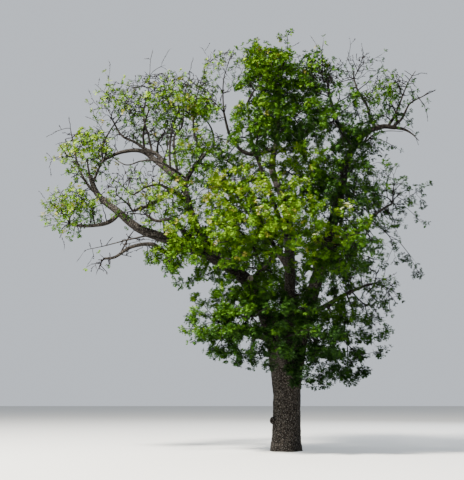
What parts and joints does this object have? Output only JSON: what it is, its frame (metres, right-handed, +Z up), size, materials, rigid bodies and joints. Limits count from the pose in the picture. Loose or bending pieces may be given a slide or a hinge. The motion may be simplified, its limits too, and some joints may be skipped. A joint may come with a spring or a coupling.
{
  "type": "old service tree",
  "caption": "Old service tree in spring leaf: short thick trunk, upright stems, long open boughs that reach left, and a dense leafy crown on the right.",
  "frame": {"origin": "middle of the flat cut of the trunk at ground level", "axes": "+Z up; the side that the picture shows faces -Y, so the long open boughs reach towards -X and the dense crown lies towards +X"},
  "size_m": [14.17, 9.4, 15.2],
  "materials": {
    "bark": "rough scaly bark",
    "foliage": "soft matt leaves"
  },
  "bodies": {
    "root": {"trunk": "bark", "bough_left_low": "bark", "stem_middle": "bark", "stem_right": "bark", "bough_left_riser": "bark", "bough_left_shelf": "bark", "bough_left_inner": "bark", "bough_left_tip": "bark", "bough_left_hanging": "bark", "bough_middle_arch": "bark", "bough_right_fork": "bark", "bough_right_spire": "bark", "bough_right_side": "bark", "bough_right_low": "bark", "bough_left_skirt": "bark", "bough_front": "bark", "bough_front_top": "bark", "bough_back_left": "bark", "bough_back_right": "bark", "leaves_left_tip": "foliage", "leaves_left_fan": "foliage", "leaves_left_shelf": "foliage", "leaves_left_crest_outer": "foliage", "leaves_left_crest": "foliage", "leaves_left_crest_back": "foliage", "leaves_left_crown": "foliage", "leaves_left_hollow": "foliage", "leaves_left_inner": "foliage", "leaves_left_hanging": "foliage", "leaves_left_low_inner": "foliage", "leaves_left_shoulder": "foliage", "leaves_arch_end": "foliage", "leaves_top_left": "foliage", "leaves_top_middle": "foliage", "leaves_top_back": "foliage", "leaves_upper_left": "foliage", "leaves_upper_middle": "foliage", "leaves_middle_left": "foliage", "leaves_centre": "foliage", "leaves_right_fork": "foliage", "leaves_right_spire": "foliage", "leaves_right_end": "foliage", "leaves_right_upper": "foliage", "leaves_right_shoulder": "foliage", "leaves_right_side": "foliage", "leaves_right_middle": "foliage", "leaves_right_low": "foliage", "leaves_right_skirt": "foliage", "leaves_front_left": "foliage", "leaves_front_middle": "foliage", "leaves_front_right": "foliage", "leaves_front_low": "foliage", "leaves_front_low_right": "foliage", "leaves_left_skirt": "foliage", "leaves_crown_inner": "foliage", "leaves_back_low": "foliage", "leaves_back_middle": "foliage", "leaves_back_left": "foliage", "leaves_back_right": "foliage", "leaves_back_right_low": "foliage"}
  },
  "joints": []
}
